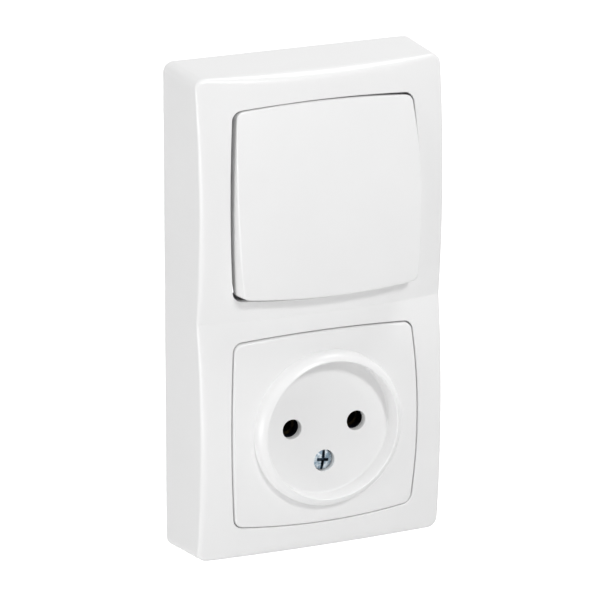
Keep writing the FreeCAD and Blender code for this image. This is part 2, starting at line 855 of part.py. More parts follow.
def socket_body():
    z = socket_z
    body = tray(socket_half_height, z)
    z0, z1 = z - tower_half_height, z + tower_half_height
    tower = block(-tower_half_width, tower_half_width, floor_top - NUDGE, well_back, z0, z1)
    half = nut_tower_half_width
    boss_face = well_back - cover_boss_depth
    nut_tower = block(-half, half, floor_top - NUDGE, boss_face, z - nut_tower_foot, z)
    body = body.multiFuse([tower, nut_tower])
    screw_z = z - screw_below_pins
    body = body.cut(disc(cover_boss_radius + boss_pocket_gap, boss_face, CLEAR, 0.0, screw_z))
    for side in (-1, 1):
        x = side * pin_spacing / 2
        chamber = disc(chamber_radius, floor_top, CLEAR, x, z)
        x_pair = sorted((x, side * (tower_half_width + NUDGE)))
        half = tail_width / 2 + tail_gap
        chamber = chamber.fuse(block(*x_pair, floor_top, CLEAR, z - half, z + half))
        body = body.cut(chamber)
        body = body.cut(disc(pin_relief_radius, 0.0, floor_top + NUDGE, x, z))
        body = body.cut(terminal_hole(side, z))
    half = nut_size / 2 + nut_gap
    near = nut_near() - nut_gap
    far = nut_near() + nut_height + nut_gap
    body = body.cut(block(-half, half, near, far, z - nut_tower_foot - NUDGE, screw_z + half))
    screw_end = head_seat() - cover_screw_length - NUDGE
    body = body.cut(disc(cover_screw_radius + shank_gap, screw_end, CLEAR, 0.0, screw_z))
    for x, fixing_z in fixing_places(z, socket_fixing_z):
        body = body.cut(disc(fixing_screw_radius + shank_gap, 0.0, floor_top + NUDGE, x, fixing_z))
    return body.removeSplitter()


# Socket contacts: a slit sleeve that grips the pin, with a flat tail to its terminal, and a
# spring clip round the sleeve.

def sleeve_end():
    """The reach of the sleeve's mouth."""
    return well_back - sleeve_sink


def socket_contact(side):
    z = socket_z
    x = side * pin_spacing / 2
    outer = sleeve_bore + sleeve_wall
    sleeve = disc(outer, floor_top, sleeve_end(), x, z)
    x_pair = sorted((x, side * (terminal_x + clamp_size / 2)))
    half = tail_width / 2
    tail = block(*x_pair, floor_top, strip_top, z - half, z + half)
    contact = sleeve.fuse(tail).fuse(disc(half, floor_top, strip_top, x, z))
    contact = contact.cut(disc(sleeve_bore, 0.0, CLEAR, x, z))
    half = sleeve_slit / 2
    slit = block(x - half, x + half, strip_top + sleeve_root, CLEAR, z - outer - NUDGE, z + outer + NUDGE)
    contact = contact.cut(slit)
    thread = disc(terminal_screw_radius + thread_gap, 0.0, CLEAR, side * terminal_x, z)
    return contact.cut(thread)


def spring_clip(side):
    z = socket_z
    x = side * pin_spacing / 2
    near = strip_top + clip_above_tail
    far = near + clip_height
    inner = sleeve_bore + sleeve_wall + clip_gap
    ring = disc(inner + clip_thickness, near, far, x, z).cut(disc(inner, near - NUDGE, far + NUDGE, x, z))
    half = clip_opening / 2
    x_pair = sorted((x, side * (abs(x) + CLEAR)))
    return ring.cut(block(*x_pair, near - NUDGE, far + NUDGE, z - half, z + half))


def group(shapes):
    """Like pieces that share one node."""
    return Part.makeCompound(shapes)


switch_terminals = [(-terminal_x, switch_z), (terminal_x, switch_z - blade_contact_arm)]
socket_terminals = [(-terminal_x, socket_z), (terminal_x, socket_z)]
switch_fixings = fixing_places(switch_z, switch_fixing_z)
socket_fixings = fixing_places(socket_z, socket_fixing_z)

pieces = {
    "cover_frame": cover_frame(),
    "base_plate": base_plate(),
    "rocker_key": rocker_key(),
    "rocker_carrier": rocker_carrier(),
    "plunger": plunger(),
    "plunger_spring": plunger_spring(),
    "contact_blade": contact_blade(),
    "moving_contact_rivet": moving_contact_rivet(),
    "fixed_contact_rivet": fixed_contact_rivet(),
    "fixed_contact": fixed_contact(),
    "common_contact": common_contact(),
    "switch_housing": switch_housing(),
    "switch_terminal_clamps": group([terminal_clamp(x, z) for x, z in switch_terminals]),
    "switch_terminal_screws": group([terminal_screw(x, z) for x, z in switch_terminals]),
    "switch_fixing_screws": group([fixing_screw(x, z) for x, z in switch_fixings]),
    "socket_front": socket_front(),
    "socket_body": socket_body(),
    "socket_contact_left": socket_contact(-1),
    "socket_contact_right": socket_contact(1),
    "contact_spring_clips": group([spring_clip(side) for side in (-1, 1)]),
    "socket_terminal_clamps": group([terminal_clamp(x, z) for x, z in socket_terminals]),
    "socket_terminal_screws": group([terminal_screw(x, z) for x, z in socket_terminals]),
    "socket_fixing_screws": group([fixing_screw(x, z) for x, z in socket_fixings]),
    "cover_screw": cover_screw(),
    "cover_screw_nut": cover_screw_nut(),
}

os.makedirs("parts", exist_ok=True)
for name, shape in pieces.items():
    shape.exportStep(os.path.join("parts", name + ".step"))
    print(name, len(shape.Solids), "solid", round(shape.Volume, 2), "mm3", "valid", shape.isValid())
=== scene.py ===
# A surface-mounted rocker switch above a two-pin socket, in one white cover.
# Lengths are in metres, and a size in millimetres is written as a number times mm.
# X runs to the right, Y into the wall and Z up; a reach is a distance out from the wall.
import math

import bmesh
import bpy
from mathutils import Matrix, Vector


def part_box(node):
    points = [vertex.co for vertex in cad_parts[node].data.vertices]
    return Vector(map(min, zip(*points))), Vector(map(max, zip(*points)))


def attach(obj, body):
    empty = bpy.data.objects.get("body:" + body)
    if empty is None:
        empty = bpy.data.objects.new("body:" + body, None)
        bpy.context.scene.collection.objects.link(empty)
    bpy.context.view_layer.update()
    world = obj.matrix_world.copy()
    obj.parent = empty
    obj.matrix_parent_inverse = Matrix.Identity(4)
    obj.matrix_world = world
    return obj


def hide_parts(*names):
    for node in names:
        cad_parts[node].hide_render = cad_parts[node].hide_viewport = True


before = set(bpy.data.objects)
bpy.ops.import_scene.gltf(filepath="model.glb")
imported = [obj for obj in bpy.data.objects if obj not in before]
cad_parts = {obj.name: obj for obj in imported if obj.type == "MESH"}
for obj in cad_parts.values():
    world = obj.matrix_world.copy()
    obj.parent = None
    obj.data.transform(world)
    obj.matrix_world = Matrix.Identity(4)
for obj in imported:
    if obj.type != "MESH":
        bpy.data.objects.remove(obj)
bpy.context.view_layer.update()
mm = 0.001


# Cover frame
# One deep moulding of white ABS that reaches the wall. Its front is two shallow domes that
# meet in a valley, and each gang has an opening with bowed sides and an inward rim.

cover_corner_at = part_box("cover_frame")[1]
cover_half_width = cover_corner_at.x
cover_half_height = cover_corner_at.z
cover_draft = math.radians(2.6)
cover_taper = math.tan(cover_draft)
cover_corner = 2.8 * mm
cover_wall = 2.0 * mm
dome_radius = 200.0 * mm
dome_reach = 25.0 * mm
gang_centre = 31.6 * mm
edge_round = 2.7 * mm
side_edge_round = 1.5 * mm
edge_round_least = 0.6 * mm
opening_half_width = 27.65 * mm
opening_half_height = 27.05 * mm
opening_bow = 1.3 * mm
opening_corner = 2.3 * mm
opening_edge_round = 0.3 * mm
rim_depth = 10.0 * mm
ledge_depth = 2.2 * mm
ledge_width = 1.6 * mm
ledge_thickness = 5.8 * mm
round_steps = 10
cover_crease = math.radians(14)
beyond_front = 2 * dome_reach
grid_step = 1.6 * mm
bow_cuts = 31
corner_steps = 8
near_enough = 0.02 * mm
same_point = 0.005 * mm


def only(piece):
    """Select one piece alone and make it the active one."""
    bpy.ops.object.select_all(action="DESELECT")
    piece.select_set(True)
    bpy.context.view_layer.objects.active = piece


def edit(piece):
    """Open the mesh of one piece for editing."""
    only(piece)
    bpy.ops.object.mode_set(mode="EDIT")


def pick(piece, kind, test):
    """In edit mode, select the vertices, edges or faces that pass a test, and nothing else."""
    mesh = bmesh.from_edit_mesh(piece.data)
    bpy.ops.mesh.select_mode(type=kind)
    bpy.ops.mesh.select_all(action="DESELECT")
    for part in {"VERT": mesh.verts, "EDGE": mesh.edges, "FACE": mesh.faces}[kind]:
        if test(part):
            part.select_set(True)
    mesh.select_flush_mode()
    bmesh.update_edit_mesh(piece.data)


def lies_at(part, reach):
    """True if every corner of an edge or face is at one reach."""
    return all(abs(corner.co.y + reach) < near_enough for corner in part.verts)


def place(piece):
    """Put a new piece's place, turn and size into its mesh."""
    only(piece)
    bpy.ops.object.transform_apply(location=True, rotation=True, scale=True)
    return piece


def bowed_block(name, half_width, half_height, corner, near, far, z):
    """A block along the wall's normal with four bowed sides and round corners."""
    bpy.ops.object.select_all(action="DESELECT")
    bpy.ops.mesh.primitive_plane_add(size=2, location=(0, -near, z), rotation=(math.pi / 2, 0, 0))
    piece = bpy.context.object
    piece.name = name
    flat_width = half_width - opening_bow
    flat_height = half_height - opening_bow
    piece.scale = (flat_width, flat_height, 1)
    place(piece)
    edit(piece)
    pick(piece, "VERT", lambda vertex: True)
    bpy.ops.mesh.bevel(offset=corner, segments=corner_steps, affect="VERTICES")
    pick(piece, "EDGE", lambda edge: edge.calc_length() > flat_height)
    bpy.ops.mesh.subdivide(number_cuts=bow_cuts)
    mesh = bmesh.from_edit_mesh(piece.data)
    for vertex in mesh.verts:
        across = vertex.co.x / flat_width
        along = (vertex.co.z - z) / flat_height
        vertex.co.x += opening_bow * across * (1 - along ** 2)
        vertex.co.z += opening_bow * along * (1 - across ** 2)
    bmesh.update_edit_mesh(piece.data)
    bpy.ops.mesh.select_mode(type="FACE")
    bpy.ops.mesh.select_all(action="SELECT")
    bpy.ops.mesh.extrude_region_move(TRANSFORM_OT_translate={"value": (0, near - far, 0)})
    bpy.ops.mesh.select_all(action="SELECT")
    bpy.ops.mesh.normals_make_consistent(inside=False)
    bpy.ops.object.mode_set(mode="OBJECT")
    return piece


def combine(piece, tool, operation):
    """Work a second body into a piece and throw that body away."""
    boolean = piece.modifiers.new("combine", "BOOLEAN")
    boolean.object = tool
    boolean.operation = operation
    boolean.solver = "EXACT"
    only(piece)
    bpy.ops.object.modifier_apply(modifier="combine")
    bpy.data.objects.remove(tool)


def cut(piece, tool):
    """Take a body out of a piece."""
    combine(piece, tool, "DIFFERENCE")


def thicken(piece, thickness, even):
    """Give an open skin its wall, on the inside."""
    wall = piece.modifiers.new("wall", "SOLIDIFY")
    wall.thickness = thickness
    wall.offset = -1
    wall.use_even_offset = even
    only(piece)
    bpy.ops.object.modifier_apply(modifier="wall")


def rule(piece, half_width, low, high):
    """Cut a piece's faces along a net of lines, so that it can be bent evenly."""
    edit(piece)
    columns = math.ceil(half_width / grid_step)
    rows = math.ceil((high - low) / grid_step / 2)
    for number in range(-columns, columns + 1):
        bpy.ops.mesh.select_all(action="SELECT")
        bpy.ops.mesh.bisect(plane_co=(half_width * number / columns, 0, 0), plane_no=(1, 0, 0))
    for number in range(-rows, rows + 1):
        height = (low + high) / 2 + (high - low) / 2 * number / rows
        bpy.ops.mesh.select_all(action="SELECT")
        bpy.ops.mesh.bisect(plane_co=(0, 0, height), plane_no=(0, 0, 1))
    bpy.ops.mesh.select_all(action="SELECT")
    bpy.ops.mesh.remove_doubles(threshold=same_point)
    bpy.ops.object.mode_set(mode="OBJECT")


def dome_drop(x, z):
    """How far a gang's dome lies behind its foremost point."""
    from_centre = math.hypot(x, abs(z) - gang_centre)
    return dome_radius - math.sqrt(dome_radius ** 2 - from_centre ** 2)


def smooth(piece, crease):
    """Shade a piece smoothly, apart from edges that turn by more than the crease's angle."""
    only(piece)
    bpy.ops.object.shade_smooth_by_angle(angle=crease)


def coat(piece, *materials):
    """Give a new piece its materials, in the order of its slots."""
    piece.data.materials.clear()
    for material in materials:
        piece.data.materials.append(material)


def drape_cover(shell):
    """Bend the flat front over the domes and swell its edge rounding towards each side's middle."""
    for vertex in shell.data.vertices:
        x, reach, z = vertex.co.x, -vertex.co.y, vertex.co.z
        depth = dome_reach - reach
        if reach < near_enough:
            continue
        half_width = cover_half_width - reach * cover_taper
        half_height = cover_half_height - reach * cover_taper
        out_x = max(abs(x) - (half_width - cover_corner), 0.0)
        out_z = max(abs(z) - (half_height - cover_corner), 0.0)
        out = math.hypot(out_x, out_z)
        if out < near_enough:
            vertex.co.y += dome_drop(x, z)
            continue
        along_x = min(abs(x) / half_width, 1.0)
        along_z = min(abs(abs(z) - gang_centre) / (half_height - gang_centre), 1.0)
        swell = min((1 - along_x ** 2) + (1 - along_z ** 2), 1.0)
        most = side_edge_round + (edge_round - side_edge_round) * (out_z / out) ** 2
        share = (edge_round_least + (most - edge_round_least) * swell) / edge_round
        new_out = cover_corner - (cover_corner - out) * share
        new_reach = dome_reach - dome_drop(x, z) - depth * share
        slant = (reach - new_reach) * cover_taper
        if out_x > 0:
            x = math.copysign(half_width + slant - cover_corner + out_x * new_out / out, x)
        if out_z > 0:
            z = math.copysign(half_height + slant - cover_corner + out_z * new_out / out, z)
        vertex.co = (x, depth * share + dome_drop(x, z) - dome_reach, z)


bpy.ops.object.select_all(action="DESELECT")
bpy.ops.mesh.primitive_cube_add(size=2, location=(0, -dome_reach / 2, 0))
cover = bpy.context.object
cover.name = "cover_shell"
cover.scale = (cover_half_width, dome_reach / 2, cover_half_height)
place(cover)
edit(cover)
pick(cover, "FACE", lambda face: lies_at(face, dome_reach))
narrower = dome_reach * cover_taper
bpy.ops.transform.resize(value=(1 - narrower / cover_half_width, 1, 1 - narrower / cover_half_height))
pick(cover, "EDGE", lambda edge: abs(edge.verts[0].co.y - edge.verts[1].co.y) > dome_reach / 2)
bpy.ops.mesh.bevel(offset=cover_corner, segments=round_steps)
pick(cover, "EDGE", lambda edge: lies_at(edge, dome_reach))
bpy.ops.mesh.bevel(offset=edge_round, segments=round_steps)
bpy.ops.object.mode_set(mode="OBJECT")

rim_end = dome_reach - rim_depth
ledge_reach = dome_reach - ledge_depth
opening = (opening_half_width, opening_half_height, opening_corner)
cut(cover, bowed_block("rocker_opening", *opening, rim_end, beyond_front, gang_centre))
cut(cover, bowed_block("socket_opening", *opening, ledge_reach, beyond_front, -gang_centre))

edit(cover)
pick(cover, "FACE", lambda face: lies_at(face, 0.0) or lies_at(face, rim_end))
bpy.ops.mesh.delete(type="FACE")
pick(cover, "FACE", lambda face: lies_at(face, ledge_reach))
bpy.ops.mesh.inset(thickness=ledge_width, use_even_offset=True)
bpy.ops.mesh.extrude_region_move(TRANSFORM_OT_translate={"value": (0, ledge_thickness, 0)})
bpy.ops.mesh.delete(type="FACE")


def on_opening(edge):
    """True for the front edge of an opening."""
    inside = all(
        abs(corner.co.x) < opening_half_width + near_enough
        and abs(abs(corner.co.z) - gang_centre) < opening_half_height + near_enough
        for corner in edge.verts
    )
    return inside and lies_at(edge, dome_reach) and len(edge.link_faces) == 2


pick(cover, "EDGE", on_opening)
bpy.ops.mesh.bevel(offset=opening_edge_round, segments=3)
bpy.ops.object.mode_set(mode="OBJECT")
rule(cover, cover_half_width, -cover_half_height, cover_half_height)
drape_cover(cover)

thicken(cover, cover_wall, even=True)
for vertex in cover.data.vertices:
    vertex.co.y = min(vertex.co.y, 0.0)
smooth(cover, cover_crease)
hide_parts("cover_frame")
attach(cover, "root")


def srgb(code):
    """A hex colour as the linear values that a shader takes."""
    channels = [int(code[start:start + 2], 16) / 255 for start in (1, 3, 5)]
    return [c / 12.92 if c <= 0.04045 else ((c + 0.055) / 1.055) ** 2.4 for c in channels] + [1.0]


def add_node(material, kind, values=None, links=None, **settings):
    """Add one shader node with its settings, the values of its sockets and what feeds them."""
    node = material.node_tree.nodes.new("ShaderNode" + kind)
    for name, value in settings.items():
        setattr(node, name, value)
    for socket, value in (values or {}).items():
        node.inputs[socket].default_value = value
    for socket, source in (links or {}).items():
        material.node_tree.links.new(source, node.inputs[socket])
    return node


def new_material(name):
    """An empty material and its surface shader."""
    material = bpy.data.materials.new(name)
    material.use_nodes = True
    return material, material.node_tree.nodes["Principled BSDF"]


def white_abs():
    """Injection-moulded white ABS from a polished tool: a soft gloss with faint flow marks."""
    flow_size = 30 * mm
    grain_size = 0.6 * mm
    material, surface = new_material("white_abs")
    place_on = add_node(material, "TexCoord").outputs["Object"]
    flow = add_node(material, "TexNoise", {"Scale": 1 / flow_size, "Detail": 2.0}, {"Vector": place_on})
    tone = add_node(material, "ValToRGB", links={"Fac": flow.outputs["Fac"]})
    tone.color_ramp.elements[0].position = 0.3
    tone.color_ramp.elements[0].color = srgb("#F1F1F1")
    tone.color_ramp.elements[1].position = 0.7
    tone.color_ramp.elements[1].color = srgb("#F3F3F3")
    grain = add_node(material, "TexNoise", {"Scale": 1 / grain_size, "Detail": 3.0}, {"Vector": place_on})
    gloss = add_node(
        material, "MapRange", {"To Min": 0.26, "To Max": 0.34}, {"Value": grain.outputs["Fac"]}
    )
    relief = add_node(
        material, "Bump", {"Strength": 0.06, "Distance": 0.02 * mm}, {"Height": grain.outputs["Fac"]}
    )
    surface.inputs["IOR"].default_value = 1.53
    material.node_tree.links.new(tone.outputs["Color"], surface.inputs["Base Color"])
    material.node_tree.links.new(gloss.outputs["Result"], surface.inputs["Roughness"])
    material.node_tree.links.new(relief.outputs["Normal"], surface.inputs["Normal"])
    return material


white_moulding = white_abs()
coat(cover, white_moulding)


# Rocker key
# The large white key snaps onto the carrier and tilts in the upper opening. It is moulded
# like the cover, with a dome of the same radius and a skirt all round.

key_half_width = 26.85 * mm
key_half_height = 26.35 * mm
key_corner = 1.7 * mm
key_front = 27.38 * mm
key_skirt_end = 17.5 * mm
key_wall = 1.8 * mm
key_edge_round = 0.5 * mm
key_crease = math.radians(20)
key_tilt = math.radians(5.9)
key_slack_turn = math.radians(0.6)
key_slack_shift = 0.3 * mm
pivot_reach = 20.0 * mm

key = bowed_block(
    "rocker_face", key_half_width, key_half_height, key_corner, key_skirt_end, key_front, gang_centre
)
edit(key)
pick(key, "FACE", lambda face: lies_at(face, key_skirt_end))
bpy.ops.mesh.delete(type="FACE")
pick(key, "EDGE", lambda edge: lies_at(edge, key_front))
bpy.ops.mesh.bevel(offset=key_edge_round, segments=5)
bpy.ops.object.mode_set(mode="OBJECT")
rule(key, key_half_width, gang_centre - key_half_height, gang_centre + key_half_height)
for vertex in key.data.vertices:
    if vertex.co.y < -key_skirt_end - near_enough:
        vertex.co.y += dome_drop(vertex.co.x, vertex.co.z)
thicken(key, key_wall, even=False)

pivot = Matrix.Translation((0, -pivot_reach, gang_centre))
slack = Matrix.Translation((key_slack_shift, 0, 0)) @ Matrix.Rotation(key_slack_turn, 4, "Y")
key.data.transform(pivot @ Matrix.Rotation(-key_tilt, 4, "X") @ slack @ pivot.inverted())
smooth(key, key_crease)
coat(key, white_moulding)
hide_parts("rocker_key")
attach(key, "rocker")


# Front of the socket
# A white domed plate on the ledge of the lower opening, moulded in one with a collar, a round
# well, two pin holes and the recess of the screw.

socket_z = -gang_centre
plate_half_width = 27.42 * mm
plate_half_height = 26.8 * mm
plate_corner = 2.15 * mm
plate_thickness = 2.2 * mm
plate_edge_round = 0.7 * mm
plate_sag = 0.13 * mm
plate_shift = plate_sag / 2
plate_crease = math.radians(20)
well_radius = 19.1 * mm
well_reach = 22.2 * mm
well_back = 20.0 * mm
well_floor_round = 0.6 * mm
collar_foot = 21.5 * mm
collar_reach = 27.9 * mm
collar_round = 3.2 * mm
collar_round_steps = 12
collar_crest_round = 0.25 * mm
collar_step = 0.5 * mm
collar_neck = collar_foot - collar_step
cup_crease = math.radians(30)
turn_steps = 160
pin_spacing = 19.0 * mm
pin_hole_radius = 2.75 * mm
hole_edge_round = 0.15 * mm
square_to_wall = 0.9999  # the flat floor of the well is shaded flat, so no seam shows in it
screw_z = socket_z - 10.0 * mm
recess_radius = 3.05 * mm
screw_seat = 19.6 * mm
screw_shaft_radius = 2.0 * mm


def rod(name, radius, near, far, x, z, sides=64):
    """A round bar square to the wall."""
    bpy.ops.object.select_all(action="DESELECT")
    bpy.ops.mesh.primitive_cylinder_add(
        vertices=sides, radius=radius, depth=far - near,
        location=(x, -(near + far) / 2, z), rotation=(math.pi / 2, 0, 0),
    )
    piece = bpy.context.object
    piece.name = name
    return place(piece)


def turned(name, outline, rounds, z):
    """Spin an outline of (radius, reach) points about the gang's axis, with some corners rounded."""
    mesh = bpy.data.meshes.new(name)
    piece = bpy.data.objects.new(name, mesh)
    bpy.context.scene.collection.objects.link(piece)
    points = [(radius, -reach, z) for radius, reach in outline]
    mesh.from_pydata(points, [(number, number + 1) for number in range(len(points) - 1)], [])
    edit(piece)
    for (radius, reach), size in rounds.items():
        corner = Vector((radius, -reach, z))
        pick(piece, "VERT", lambda vertex: (vertex.co - corner).length < near_enough)
        bpy.ops.mesh.bevel(offset=size, segments=corner_steps, affect="VERTICES")
    bpy.ops.mesh.select_all(action="SELECT")
    bpy.ops.mesh.spin(steps=turn_steps, angle=2 * math.pi, center=(0, 0, z), axis=(0, 1, 0))
    bpy.ops.mesh.select_all(action="SELECT")
    bpy.ops.mesh.remove_doubles(threshold=same_point)
    bpy.ops.mesh.select_all(action="SELECT")
    bpy.ops.mesh.normals_make_consistent(inside=False)
    bpy.ops.object.mode_set(mode="OBJECT")
    return piece


plate_back = dome_reach - plate_thickness
plate = bowed_block(
    "socket_plate", plate_half_width, plate_half_height, plate_corner, plate_back, dome_reach, socket_z
)
edit(plate)
pick(plate, "EDGE", lambda edge: lies_at(edge, dome_reach))
bpy.ops.mesh.bevel(offset=plate_edge_round, segments=6)
bpy.ops.object.mode_set(mode="OBJECT")
cut(plate, rod("plate_hole", collar_neck, 0, beyond_front, 0, socket_z, sides=turn_steps))
rule(plate, plate_half_width, socket_z - plate_half_height, socket_z + plate_half_height)
for vertex in plate.data.vertices:
    vertex.co.y += dome_drop(vertex.co.x, vertex.co.z)
plate.data.transform(Matrix.Translation((plate_shift, 0, -plate_sag)))

foot_reach = dome_reach - dome_drop(collar_foot, socket_z) - collar_step
round_middle = collar_foot - collar_round
round_end = math.acos((well_radius + collar_crest_round - round_middle) / collar_round)
shoulder_reach = collar_reach - collar_round * math.sin(round_end)
outline = [(0.0, well_reach), (well_radius, well_reach), (well_radius, collar_reach)]
for number in range(collar_round_steps, -1, -1):
    angle = round_end * number / collar_round_steps
    outline.append((
        round_middle + collar_round * math.cos(angle), shoulder_reach + collar_round * math.sin(angle)
    ))
outline += [
    (collar_foot, foot_reach),
    (collar_neck, foot_reach),
    (collar_neck, well_back),
    (0.0, well_back),
]
rounds = {outline[1]: well_floor_round, outline[2]: collar_crest_round}
cup = turned("socket_cup", outline, rounds, socket_z)
holes = [-pin_spacing / 2, pin_spacing / 2]
for x in holes:
    cut(cup, rod("pin_hole", pin_hole_radius, 0, beyond_front, x, socket_z))
cut(cup, rod("screw_recess", recess_radius, screw_seat, beyond_front, 0, screw_z))
cut(cup, rod("screw_hole", screw_shaft_radius, 0, beyond_front, 0, screw_z))


def round_hole(edge):
    """True for the front edge of a pin hole."""
    for x in holes:
        outs = [math.hypot(corner.co.x - x, corner.co.z - socket_z) for corner in edge.verts]
        if all(abs(out - pin_hole_radius) < near_enough for out in outs):
            return lies_at(edge, well_reach)
    return False


edit(cup)
pick(cup, "EDGE", round_hole)
bpy.ops.mesh.bevel(offset=hole_edge_round, segments=3)
bpy.ops.object.mode_set(mode="OBJECT")
smooth(plate, plate_crease)
smooth(cup, cup_crease)
for face in cup.data.polygons:
    if face.normal.y < -square_to_wall:
        face.use_smooth = False
for piece in (plate, cup):
    coat(piece, white_moulding)
    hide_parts("socket_front")
    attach(piece, "root")


# Cover screw
# A steel screw with a low round head, a slot and a short cross for either driver, zinc-plated
# to a bluish shine. It goes through the well's floor into a nut and holds the cover.

head_radius = 2.85 * mm
head_top = 21.4 * mm
head_crown = 0.4 * mm
head_rings = 4
ring_width = head_radius / 5
head_edge_round = 0.25 * mm
head_edge_steps = 4
rim_bend = 1.0  # radians: only the edge between the head's top and side turns by more
head_crease = math.radians(25)
shank_radius = 1.7 * mm
shank_end = 7.6 * mm
shank_overlap = 0.8 * mm
slot_width = 0.8 * mm
slot_length = 4 * head_radius
slot_depth = 0.9 * mm
cross_width = 0.85 * mm
cross_length = 3.3 * mm
cross_depth = 1.3 * mm
screw_turn = math.radians(8.0)
steep_face = 0.3  # a face whose normal points less than this much out of the wall is a side
recess_limit = 0.97 * head_radius


def bar(name, width, height, near, far, x, z):
    """A straight-sided bar square to the wall."""
    bpy.ops.object.select_all(action="DESELECT")
    bpy.ops.mesh.primitive_cube_add(size=1, location=(x, -(near + far) / 2, z))
    piece = bpy.context.object
    piece.name = name
    piece.scale = (width, far - near, height)
    return place(piece)


def zinc_plate(name, light, dark, roughness):
    """Bluish zinc on steel: a metal that mirrors the room, clouded by its crystals and by wear."""
    cloud_size = 1.1 * mm
    crystal_size = 0.12 * mm
    material, surface = new_material(name)
    place_on = add_node(material, "TexCoord").outputs["Object"]
    cloud = add_node(material, "TexNoise", {"Scale": 1 / cloud_size, "Detail": 3.0}, {"Vector": place_on})
    tone = add_node(material, "ValToRGB", links={"Fac": cloud.outputs["Fac"]})
    tone.color_ramp.elements[0].position = 0.4
    tone.color_ramp.elements[0].color = srgb(dark)
    tone.color_ramp.elements[1].position = 0.6
    tone.color_ramp.elements[1].color = srgb(light)
    crystal = add_node(
        material, "TexVoronoi", {"Scale": 1 / crystal_size}, {"Vector": place_on}, feature="SMOOTH_F1"
    )
    gloss = add_node(
        material, "MapRange", {"To Min": roughness, "To Max": roughness + 0.15},
        {"Value": crystal.outputs["Distance"]},
    )
    relief = add_node(
        material, "Bump", {"Strength": 0.3, "Distance": 0.01 * mm}, {"Height": crystal.outputs["Distance"]}
    )
    surface.inputs["Metallic"].default_value = 1.0
    material.node_tree.links.new(tone.outputs["Color"], surface.inputs["Base Color"])
    material.node_tree.links.new(gloss.outputs["Result"], surface.inputs["Roughness"])
    material.node_tree.links.new(relief.outputs["Normal"], surface.inputs["Normal"])
    return material


screw = rod("screw_head", head_radius, screw_seat, head_top, 0, screw_z, sides=48)
edit(screw)
pick(screw, "FACE", lambda face: lies_at(face, head_top))
for number in range(head_rings):
    bpy.ops.mesh.inset(thickness=ring_width)
bpy.ops.object.mode_set(mode="OBJECT")
for vertex in screw.data.vertices:
    if abs(vertex.co.y + head_top) < near_enough:
        out = math.hypot(vertex.co.x, vertex.co.z - screw_z) / head_radius
        vertex.co.y += head_crown * out ** 2


def on_head_rim(edge):
    """True for the sharp edge round the top of the head."""
    above_seat = edge.verts[0].co.y < -screw_seat - near_enough
    return above_seat and edge.calc_face_angle(0.0) > rim_bend


edit(screw)
pick(screw, "EDGE", on_head_rim)
bpy.ops.mesh.bevel(offset=head_edge_round, segments=head_edge_steps)
bpy.ops.object.mode_set(mode="OBJECT")
shank = rod("shank", shank_radius, shank_end, screw_seat + shank_overlap, 0, screw_z, sides=32)
combine(screw, shank, "UNION")

slot_floor = head_top - slot_depth
cross_floor = head_top - cross_depth
recess = bar("slot", slot_width, slot_length, slot_floor, beyond_front, 0, screw_z)
for width, height in ((cross_width, cross_length), (cross_length, cross_width)):
    arm = bar("cross_arm", width, height, cross_floor, beyond_front, 0, screw_z)
    combine(recess, arm, "UNION")
axis = Matrix.Translation((0, 0, screw_z))
recess.data.transform(axis @ Matrix.Rotation(screw_turn, 4, "Y") @ axis.inverted())
cut(screw, recess)
smooth(screw, head_crease)
coat(
    screw,
    zinc_plate("bright_zinc", "#DDE6EC", "#8FA3B2", 0.16),
    zinc_plate("recess_painted_shade", "#4A5A68", "#26323E", 0.4),
)
# Faces sunk into the slot and cross, and the recess's sides, take the dark copy of the zinc: painted shade
# in the drive recess.
for face in screw.data.polygons:
    middle = face.center
    from_axis = math.hypot(middle.x, middle.z - screw_z)
    sunk = -middle.y < head_top - head_crown - head_edge_round
    recess_side = abs(face.normal.y) < steep_face and from_axis < recess_limit
    face.material_index = 1 if sunk or recess_side else 0
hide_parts("cover_screw")
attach(screw, "root")


# Zinc-plated screws and clamps
# The terminals' screws and square clamps, the blocks' fixing screws and the cover screw's nut
# are steel, cold-formed or pressed, with the same bluish plating as the cover screw.

def paint(names, material):
    """Give a material to every slot of some CAD nodes."""
    for name in names:
        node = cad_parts[name]
        if not node.data.materials:
            node.data.materials.append(material)
        for slot in node.material_slots:
            slot.material = material


paint(
    [
        "switch_terminal_clamps", "switch_terminal_screws", "switch_fixing_screws",
        "socket_terminal_clamps", "socket_terminal_screws", "socket_fixing_screws", "cover_screw_nut",
    ],
    zinc_plate("plain_zinc", "#C6D1DA", "#93A3B0", 0.3),
)


# Base plate and inner mouldings
# The plate on the wall is pale grey polycarbonate. The rocker's carrier and the plunger are
# milky polyamide, which slides well and looks a little waxy.

